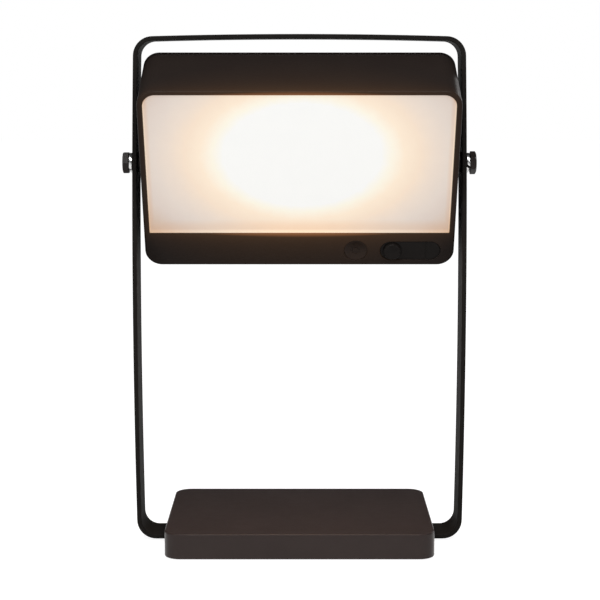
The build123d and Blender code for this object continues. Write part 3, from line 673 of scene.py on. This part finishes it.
def baseMesh():
    look = baseCover
    wall, rim, low, ceiling = look["wall"], look["rim"], look["low"], look["ceiling"]
    rows = [flat(baseOutline(i), z) for i, z in ((wall, ceiling), (wall, low + rim), (wall - rim, low))]
    rows += [flat(baseOutline(i), low + d) for d, i in edgeRound(look["lowEdge"], 3)]
    rows += [flat(baseOutline(i), look["top"] - d) for i, d in edgeRound(look["edge"], 6)]
    gate = insetOutline(look["notch"], 0, 4)
    cutter = cappedMesh("notch", [across(gate, side * look["notchReach"]) for side in sides], False)
    x, y = look["posts"]
    post = tube(look["postLow"], ceiling + rim, look["postHole"], look["postRadius"])
    posts = [(turned(post, (sx * x, sy * y, 0), "z", 32), "joined") for sx in sides for sy in sides]
    shell = cutAway(cappedMesh("shell", rows, False), [cutter])
    return together("base", [shell, surfaceMesh("posts", posts, False)])


setPiece("base_shell", baseMesh(), "stand", ["base_cover"], "base_bronze")

# Head housing. The control height is that of the button and the port.

housing = {
    "half": 88.0, "low": -54.5, "high": 56.5, "corner": 9.5, "front": -22.6, "rear": 22.2, "bevel": 1.0,
    "seam": 0.25, "inner": {"half": 85.0, "low": -52.1, "high": 54.1, "corner": 7.1},
    "windowLow": -33.3, "windowCorner": 0.35, "windowEdge": 0.2,
    "ledge": 3.5, "ledgeFront": -18.8, "ledgeBack": -16.8,
    "bandBack": -20.2, "shelfLow": -34.9, "shelfCorner": 0.3, "control": -44.8, "mouth": 0.14,
    "screwX": 80.5, "screwZ": (-47.0, 49.0),
}

# Holes in the band and the pivot walls. A cutter is play away from what it must leave, or goes past an end.
openings = {
    "play": 0.05, "past": 0.5, "bandPast": 0.6, "start": -21.8,
    "socket": {"x": 60.0, "width": 9.4, "height": 3.6, "corner": 1.8},
    "barb": {"x": 76.0, "radius": 1.45},
    "bore": {"from": 84.0, "to": 89.0, "radius": 4.42},
}

# Tubes inside: start and end along their axis, radius of the hole and outer radius
bosses = {
    "pivot": (76.8, 85.2, 3.02, 7.0), "rearScrew": (8.2, 22.1, 1.27, 3.6), "board": (-20.3, -11.9, 1.02, 2.4),
    "boardX": (19.0, 44.0, 70.5), "boardZ": -44.9,
}

button = {
    "place": 32.0, "radius": 6.6, "top": -22.45, "edge": 0.3, "rim": 0.55, "dish": 0.7, "play": 0.1,
    "mark": (1.45, 2.3), "markDeep": 0.3, "markSlope": 0.1,
    "flange": {"radius": 7.0, "front": -20.1, "back": -19.1}, "stem": {"radius": 2.0, "back": -16.9},
}
port = {
    "place": 63.1, "length": 34.5, "height": 12.2, "floor": -21.1, "fit": 0.14, "top": -22.4, "thick": 1.2,
    "edge": 0.3, "hinge": 72.0, "split": 0.04, "splitCorner": 0.15, "splitShare": 0.1,
    "nub": {"width": 7.5, "height": 1.7, "corner": 0.85, "from": 0.6, "to": 2.0},
    "stud": [(-21.8, 1.4), (-20.2, 1.4), (-20.2, 2.1), (-18.8, 1.5)],
}
knob = {
    "place": 52.8, "radius": 5.0, "high": 2.0, "edge": 0.7, "groove": 0.6, "grooveDeep": 0.35,
    "hollow": [(2.6, 0.12), (0.4, 0.25)],
}


def headOutline(inset):
    return insetOutline(housing, inset)


# The window's outline moved in by a margin; its lower corners are almost sharp
def windowOutline(margin):
    inner, foot = housing["inner"], housing["windowCorner"]
    half, top = inner["half"] - margin, inner["corner"] - margin
    low, high = housing["windowLow"] + margin, inner["high"] - margin
    return roundedOutline(-half, half, low, high, (foot, top, top, foot))


def buttonHole(margin):
    return circleOutline((button["place"], housing["control"]), button["radius"] + button["play"] + margin)


def portHole(margin):
    length, height = port["length"] + 2 * margin, port["height"] + 2 * margin
    return middleOutline((port["place"], housing["control"]), length, height, height / 2)


def screwPlaces():
    return [(x, z) for z in housing["screwZ"] for x in (-housing["screwX"], 0, housing["screwX"])]


# Pivot bosses, rear screw posts and control board posts, each a tube set into its wall
def housingBosses():
    inside, outside, hole, radius = bosses["pivot"]
    profiles = [tube(side * inside, side * outside, hole, radius) for side in sides]
    pieces = [(turned(profile, (0, 0, 0), "x", 32), "joined") for profile in profiles]
    places = [(bosses["rearScrew"], x, z) for x, z in screwPlaces()]
    places += [(bosses["board"], x, bosses["boardZ"]) for x in bosses["boardX"]]
    return pieces + [(turned(tube(*post), (x, 0, z), "y", 24), "joined") for post, x, z in places]


# The room behind the band, the mouths of button and port, the socket's slot, the barb's hole and the bores
def housingCutters():
    look, play, past, start = housing, openings["play"], openings["past"], openings["start"]
    half, corner, shelf = look["inner"]["half"] - play, look["inner"]["corner"], look["shelfCorner"]
    radii = corner, shelf, shelf, corner
    room = roundedOutline(-half, half, look["inner"]["low"] + play, look["shelfLow"], radii, 8)
    cutters = [cappedMesh("room", [front(room, look["bandBack"]), front(room, look["ledgeBack"] + past)])]
    face, back, flare = look["front"], look["bandBack"] + openings["bandPast"], look["mouth"]
    for outline, end in ((buttonHole, back), (portHole, port["floor"])):
        rows = [front(outline(flare + past), face - past)]
        rows += [front(outline(0), y) for y in (face + flare, end)]
        cutters.append(cappedMesh("mouth", rows))
    slot, barb, bore = openings["socket"], openings["barb"], openings["bore"]
    outline = middleOutline((slot["x"], look["control"]), slot["width"], slot["height"], slot["corner"], 8)
    cutters.append(cappedMesh("socket", [front(outline, start), front(outline, back)]))
    hole = turned(rod(start, back, barb["radius"]), (barb["x"], 0, look["control"]), "y", 24)
    cutters.append(cappedMesh("barb", hole))
    for side in sides:
        profile = rod(side * bore["from"], side * bore["to"], bore["radius"])
        cutters.append(cappedMesh("bore", turned(profile, (0, 0, 0), "x")))
    return cutters


# The housing is one closed ring of outlines: outer side, bevel, rim, window edge, ledge, inner wall and rear
def housingMesh():
    look = housing
    seam, end = look["seam"], look["rear"]
    rows = [front(headOutline(seam), end), front(headOutline(0), end - seam)]
    rows += [front(headOutline(i), look["front"] + d) for i, d in edgeRound(look["bevel"], 5)]
    rows += [front(windowOutline(-d), look["front"] + i) for i, d in edgeRound(look["windowEdge"], 3)]
    rows += [front(windowOutline(0), look["ledgeFront"])]
    rows += [front(windowOutline(look["ledge"]), look[place]) for place in ("ledgeFront", "ledgeBack")]
    inner = insetOutline(look["inner"], 0)
    rows += [front(inner, look["ledgeBack"]), front(inner, end)]
    shell = cutAway(surfaceMesh("shell", [(rows, "joined")]), housingCutters())
    return together("housing", [shell, surfaceMesh("bosses", housingBosses())])


setPiece("head_shell", housingMesh(), "head", ["head_housing"], "head_bronze")

# Diffuser

diffuser = {"front": -22.1, "back": -19.6, "fit": 0.15, "edge": 0.3}


def diffuserMesh():
    fit, face = diffuser["fit"], diffuser["front"]
    rows = [front(windowOutline(fit), diffuser["back"])]
    rows += [front(windowOutline(fit + i), face + d) for i, d in edgeRound(diffuser["edge"])]
    return cappedMesh("diffuser", rows)


setPiece("diffuser_sheet", diffuserMesh(), "head", ["diffuser"], "diffuser_white")

# Button and port cover


# Button: a profile round its axis. Its dish rises towards the rim by r*r over twice the ball's radius, with
# a ring pressed in it.
def buttonMesh():
    look = button
    top, radius, slope = look["top"], look["radius"], look["markSlope"]
    rim = radius - look["rim"]
    ball = (rim * rim + look["dish"] ** 2) / (2 * look["dish"])
    inner, outer = look["mark"]
    radii = [0.3, 0.8, inner - slope, inner, outer, outer + slope, 3.2, 4.2, 5.2, rim]
    deep = [look["markDeep"] if inner <= r <= outer else 0 for r in radii]
    profile = [(top + look["dish"] - r * r / (2 * ball) + d, r) for r, d in zip(radii, deep)]
    profile += [(top + d, radius - i) for i, d in edgeRound(look["edge"])[::-1]]
    flange, stem = look["flange"], look["stem"]
    profile += [(flange["front"], radius), (flange["front"], flange["radius"])]
    profile += [(flange["back"], flange["radius"]), (flange["back"], stem["radius"])]
    profile += [(stem["back"], stem["radius"])]
    return cappedMesh("button", turned(profile, (look["place"], 0, housing["control"]), "y", 64))


setPiece("push_button", buttonMesh(), "button", ["power_button"], "button_bronze")


# Half height of the port cover in its pocket
def coverHalf():
    return port["height"] / 2 - port["fit"]


# Port cover's sheet between two ends: outline rows over its rounded front edge. An end that is cut across
# at the hinge is rounded by only a share of that.
def coverRows(left, right, radii):
    low, high = housing["control"] - coverHalf(), housing["control"] + coverHalf()
    rows = [front(roundedOutline(left, right, low, high, radii), port["top"] + port["thick"])]
    for i, d in edgeRound(port["edge"]):
        inside = np.maximum(np.asarray(radii) - i, 0.05)
        near = left + (i if radii[2] > 1 else i * port["splitShare"])
        far = right - (i if radii[0] > 1 else i * port["splitShare"])
        rows.append(front(roundedOutline(near, far, low + i, high - i, inside), port["top"] + d))
    return rows


# The flap: its sheet, the groove round the knob and the knob in one surface, and the plug behind
def coverMesh():
    left = port["place"] - port["length"] / 2 + port["fit"]
    cut, half = port["splitCorner"], coverHalf()
    rows = coverRows(left, port["hinge"], (cut, cut, half, half))
    centre = knob["place"], housing["control"]
    top, radius, groove = port["top"], knob["radius"], knob["radius"] + knob["groove"]
    bottom, crown = top + knob["grooveDeep"], top - knob["high"]
    steps = [(groove - 0.1, top), (groove - 0.2, bottom), (radius, bottom)]
    steps += [(radius - i, crown + d) for i, d in edgeRound(knob["edge"], 5)]
    steps += [(r, crown + d) for r, d in knob["hollow"]]
    rows += [front(circleOutline(centre, r), y) for r, y in steps]
    nub = port["nub"]
    middle = openings["socket"]["x"], housing["control"]
    outline = middleOutline(middle, nub["width"], nub["height"], nub["corner"], 8)
    plug = [front(outline, top + nub["from"]), front(outline, top + nub["to"])]
    return surfaceMesh("cover", [(rows, "capped"), (plug, "capped")])


def anchorMesh():
    right = port["place"] + port["length"] / 2 - port["fit"]
    cut, half = port["splitCorner"], coverHalf()
    rows = coverRows(port["hinge"] + port["split"], right, (half, half, cut, cut))
    stud = turned(port["stud"], (openings["barb"]["x"], 0, housing["control"]), "y", 32)
    return surfaceMesh("anchor", [(rows, "capped"), (stud, "capped")])


setPiece("port_flap_cover", coverMesh(), "flap", ["port_cover"], "rubber_grey")
setPiece("port_anchor", anchorMesh(), "head", ["cover_anchor"], "rubber_grey")

# Pivot hardware, by side. Turns and angles are in degrees.

pivot = {
    "seat": 93.63, "thrust": 0.15, "washerThick": 2.5, "wire": 1.7, "washerRadius": 5.6, "washerHole": 3.15,
    "wireEdge": 0.22, "split": 12.0, "splitAt": {-1: 196.0, 1: 172.0}, "splitSlant": 14.0,
    "flats": 11.5, "headHigh": 3.6, "turns": {-1: 3.5, 1: -26.5}, "circleShare": 0.93, "cone": 28.0,
    "underEdge": 0.25, "shank": 3.0, "shankIn": 81.0, "shankTip": (0.5, 2.6),
    "spacerRadius": 6.0, "spacerIn": 88.0, "spacerOut": 90.98, "spacerEdges": (0.3, 0.4),
}


# Hex head: rows of the hexagon's own radius. A cone falls from a circle just inside the flats, and the top
# is a little hollow.
def boltSurface(side):
    look = pivot
    seat = look["seat"] + look["thrust"] + look["washerThick"]
    top = seat + look["headHigh"]
    hexagon = hexRadius(look["flats"], radians(look["turns"][side]), 72)
    circle = look["flats"] / 2 * look["circleShare"]
    fall = (hexagon - circle) * tan(radians(look["cone"]))
    lead, tip = look["shankTip"]
    rows = [(look["shankIn"], tip), (look["shankIn"] + lead, look["shank"]), (seat, look["shank"])]
    rows += [(seat, circle), (seat + look["underEdge"], hexagon), (top - fall, hexagon)]
    rows += [(top, circle), (top - 0.02, circle * 0.8), (top - 0.1, 1.2)]
    return turned([(side * along, radius) for along, radius in rows], (0, 0, 0), "x", 72)


# Split washer: a square wire section carried once round, rising by what the washer is thicker than its wire
def washerSurface(side):
    look = pivot
    start, stop = (radians(look["splitAt"][side] + half * look["split"] / 2) for half in (1, -1))
    turn = np.linspace(start, stop + 2 * pi, 90)[:, None]
    rise = (look["washerThick"] - look["wire"]) * (turn - turn[0]) / (turn[-1] - turn[0])
    section = roundedOutline(0, look["wire"], look["washerHole"], look["washerRadius"], look["wireEdge"], 3)
    slant = (section[:, 0] / look["wire"] - 0.5) * radians(look["splitSlant"]) * side
    along = side * (look["seat"] + look["thrust"] + rise + section[:, 0][None, :])
    radius = np.broadcast_to(section[:, 1], along.shape)
    angle = turn + slant[None, :]
    return np.stack([along, radius * np.cos(angle), radius * np.sin(angle)], -1)


def spacerSurface(side):
    look = pivot
    inside, outside = look["spacerIn"], look["spacerOut"]
    hole, radius = look["washerHole"], look["spacerRadius"]
    inner, outer = look["spacerEdges"]
    ring = [(inside, hole), (inside, radius - inner), (inside + inner, radius)]
    ring += [(outside - outer, radius), (outside, radius - outer), (outside, hole)]
    return turned([(side * along, r) for along, r in ring], (0, 0, 0), "x", 56)


bolts = surfaceMesh("bolts", [(boltSurface(side), "capped") for side in sides])
washers = surfaceMesh("washers", [(washerSurface(side), "capped") for side in sides])
spacers = surfaceMesh("spacers", [(spacerSurface(side), "joined") for side in sides])
setPiece("hex_bolts", bolts, "head", ["pivot_bolts"], "steel_black", sharp=20)
setPiece("split_washers", washers, "head", ["spring_washers"], "steel", sharp=40)
setPiece("bar_spacers", spacers, "head", ["pivot_spacers"], "steel_black")

# Rear cover, its screws and the solar panel. The pocket and the panel are width, height and corner.

rear = {
    "front": 22.2, "back": 26.4, "edge": 1.2, "seam": 0.25, "seat": 24.0, "rise": 1.0,
    "pocket": (150.8, 80.8, 2.0), "pocketEdge": 0.2,
    "panel": (150.0, 80.0, 2.0), "panelFace": 26.3, "panelThick": 2.0, "panelEdge": 0.25,
    "bore": [(21.0, 1.5), (24.5, 1.5), (24.5, 2.65), (26.2, 2.65), (26.9, 3.35)],
    "lip": {"half": 84.8, "low": -51.9, "high": 53.9, "corner": 6.9, "wall": 1.4, "long": 2.0, "into": 0.1},
}
panScrew = {
    "shank": 1.25, "long": 10.0, "lead": 0.6, "tip": 0.6, "head": 2.4, "high": 1.6, "sink": 0.3, "dome": 0.75,
    "key": 2.2, "keyEdge": 0.12, "keyDeep": 1.0, "keyEnd": (1.15, 0.3),
}


def rearMesh():
    look = rear
    seam, start, edge = look["seam"], look["front"], look["pocketEdge"]
    rows = [front(headOutline(seam), start), front(headOutline(0), start + seam)]
    rows += [front(headOutline(i), look["back"] - d) for i, d in edgeRound(look["edge"], 6)]
    wide, high, corner = look["pocket"]
    for grow, depth in ((edge, 0.0), (0.0, edge), (0.0, look["back"] - look["seat"])):
        outline = middleOutline((0, look["rise"]), wide + 2 * grow, high + 2 * grow, corner + grow)
        rows.append(front(outline, look["back"] - depth))
    cutters = [cappedMesh("bore", turned(look["bore"], (x, 0, z), "y", 36)) for x, z in screwPlaces()]
    lid = cutAway(cappedMesh("lid", rows), cutters)
    return together("rear", [lid, surfaceMesh("lip", [(lipSurface(), "joined")])])


def lipSurface():
    look = rear["lip"]
    start, end = rear["front"] - look["long"], rear["front"] + look["into"]
    outside, inside = (insetOutline(look, inset, 8) for inset in (0, look["wall"]))
    return [front(outside, start), front(outside, end), front(inside, end), front(inside, start)]


# Pan-head screws: shank, domed head and a hexagonal socket, one column of points round each row
def rearScrewSurface(x, z):
    look = panScrew
    shank, head, key = look["shank"], look["head"], hexRadius(look["key"])
    top = rear["back"] - look["sink"]
    seat = top - look["high"]
    point = seat - look["long"]
    deepest, middle = look["keyEnd"]
    profile = [(point, shank * look["tip"]), (point + look["lead"], shank), (seat, shank), (seat, head)]
    profile += [(top - d, head - i) for i, d in edgeRound(look["dome"])]
    profile += [(top, key + look["keyEdge"]), (top - look["keyEdge"], key), (top - look["keyDeep"], key)]
    profile += [(top - deepest, middle)]
    return turned(profile, (x, 0, z), "y")


def panelMesh():
    wide, high, corner = rear["panel"]
    middle, face = (0, rear["rise"]), rear["panelFace"]
    rows = [front(middleOutline(middle, wide, high, corner, 10), face - rear["panelThick"])]
    for i, d in edgeRound(rear["panelEdge"], 3):
        rows.append(front(middleOutline(middle, wide - 2 * i, high - 2 * i, corner - i, 10), face - d))
    return cappedMesh("panel", rows)


setPiece("rear_lid", rearMesh(), "head", ["rear_cover"], "head_bronze")
screwMesh = surfaceMesh("screws", [(rearScrewSurface(x, z), "capped") for x, z in screwPlaces()])
setPiece("rear_pan_screws", screwMesh, "head", ["rear_screws"], "steel_black")
setPiece("solar_sheet", panelMesh(), "head", ["solar_panel"], "panel_blue")

# Stage, lights and camera. The floor has a tone of its own and a lift where it is seen. The dome is what
# gloss sees of the sky above the horizon.

studio = {
    "far": 6.0, "floor": 0.35, "lift": 0.9, "clouds": 300.0, "rough": 0.9, "specular": 0.1,
    "sky": 0.35, "dome": 0.03, "domeFrom": 0.0, "domeTo": 0.07,
}


# 1 where a ray is of one of the kinds, and else 0
def seenBy(tree, kinds):
    rays, seen = tree.nodes.new("ShaderNodeLightPath"), 0.0
    for kind in kinds:
        seen = addMath(tree, "MAXIMUM", seen, rays.outputs["Is " + kind + " Ray"])
    return seen


# The sky: white for the camera, white at the horizon and dim above it for gloss, and soft light for the rest
def skyStrength(tree):
    soft = studio["sky"]
    up = addParts(tree, tree.nodes.new("ShaderNodeTexCoord").outputs["Generated"])[2]
    dome = addRange(tree, up, 1 - soft, studio["dome"] - soft, studio["domeFrom"], studio["domeTo"])
    gloss = addMath(tree, "MULTIPLY", seenBy(tree, ["Glossy"]), dome)
    white = addMath(tree, "MULTIPLY", seenBy(tree, ["Camera", "Transmission"]), 1 - soft)
    return addMath(tree, "ADD", addMath(tree, "ADD", gloss, white), soft)


def buildStage():
    size, tone = studio["far"], studio["floor"]
    mesh = bpy.data.meshes.new("floor")
    corners = [(-size, -size, 0), (size, -size, 0), (size, size, 0), (-size, size, 0)]
    mesh.from_pydata(corners, [], [(0, 1, 2, 3)])
    floor = addObject("floor", mesh)
    material, tree, shader, place = startMaterial("floor_pale")
    seen = seenBy(tree, ["Camera", "Glossy", "Transmission"])
    tones = (tone * 0.99,) * 3, (tone,) * 3
    fillAll(tree, shader, {
        "Base Color": addTones(tree, addNoise(tree, place, studio["clouds"]), tones),
        "Roughness": studio["rough"],
        "Specular IOR Level": studio["specular"],
        "Emission Color": (1, 1, 1, 1),
        "Emission Strength": addMath(tree, "MULTIPLY", seen, studio["lift"]),
    })
    mesh.materials.append(material)
    world = bpy.data.worlds.new("studio")
    bpy.context.scene.world = world
    world.use_nodes = True
    tree = world.node_tree
    sky = [node for node in tree.nodes if node.type == "BACKGROUND"][0]
    fillAll(tree, sky, {"Color": (1, 1, 1, 1), "Strength": skyStrength(tree)})


# Area lamps: place, aim, size, power in watts and colour
white, cool = (1, 1, 1), (0.95, 0.98, 1)
lamps = {
    "overhead": ((0.0, -0.7, 1.0), (0, 0, 0.15), (1.0, 0.5), 10.5, white),
    "left": ((-0.85, -0.8, 0.45), (0, 0, 0.05), (0.16, 0.5), 2.5, cool),
    "right": ((0.95, -0.75, 0.45), (0, 0, 0.05), (0.16, 0.5), 1.5, cool),
    "back": ((0.9, 1.0, 0.5), (0, 0, 0.15), (0.4, 0.5), 3.0, white),
}


def addLamp(name, place, aim, size, power, colour):
    light = bpy.data.lights.new(name, "AREA")
    light.shape = "RECTANGLE"
    light.size, light.size_y = size
    light.energy, light.color = power, colour
    lamp = addObject(name, light)
    lamp.location = place
    lamp.rotation_euler = (Vector(aim) - Vector(place)).to_track_quat("-Z", "Y").to_euler()
    return lamp


# The lamp's own light: a warm panel just before the diffuser, aimed away from it, that turns with the head
ownLight = {"middle": (1.5, -24.0, 12.0), "size": (0.13, 0.07), "power": 0.28, "warm": (1.0, 0.62, 0.35)}


def addOwnLight():
    look = ownLight
    middle = np.array(look["middle"], float)
    place, aim = tipped(np.array([middle, middle + (0, -1, 0)])) * milli
    glowLamp = addLamp("own_light", tuple(place), tuple(aim), look["size"], look["power"], look["warm"])
    bpy.context.view_layer.update()
    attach(glowLamp, "head")


# Eye height and distance come from the photo's vanishing lines; a small shift does what the pitch does not.
# The focal length, the frame and the shift to the side are in pixels, the other shift is a share of the
# frame.
view = {
    "eye": (0.0, -0.898, 0.263), "pitch": 0.1116, "focal": 1583.9, "frame": 600.0,
    "aside": 0.5, "shift": -0.07, "sensor": 36.0,
}


def buildCamera():
    camera = bpy.data.cameras.new("camera")
    camera.sensor_width = view["sensor"]
    camera.lens = view["focal"] / view["frame"] * view["sensor"]
    camera.shift_y = view["shift"]
    camera.shift_x = view["aside"] / view["frame"]
    seat = addObject("camera", camera)
    seat.location = view["eye"]
    seat.rotation_euler = (pi / 2 - view["pitch"], 0, 0)
    bpy.context.scene.camera = seat
    bpy.context.scene.view_settings.view_transform = "Standard"


buildStage()
for name, look in lamps.items():
    addLamp(name, *look)
addOwnLight()
buildCamera()
print("stage, lamps and camera set")
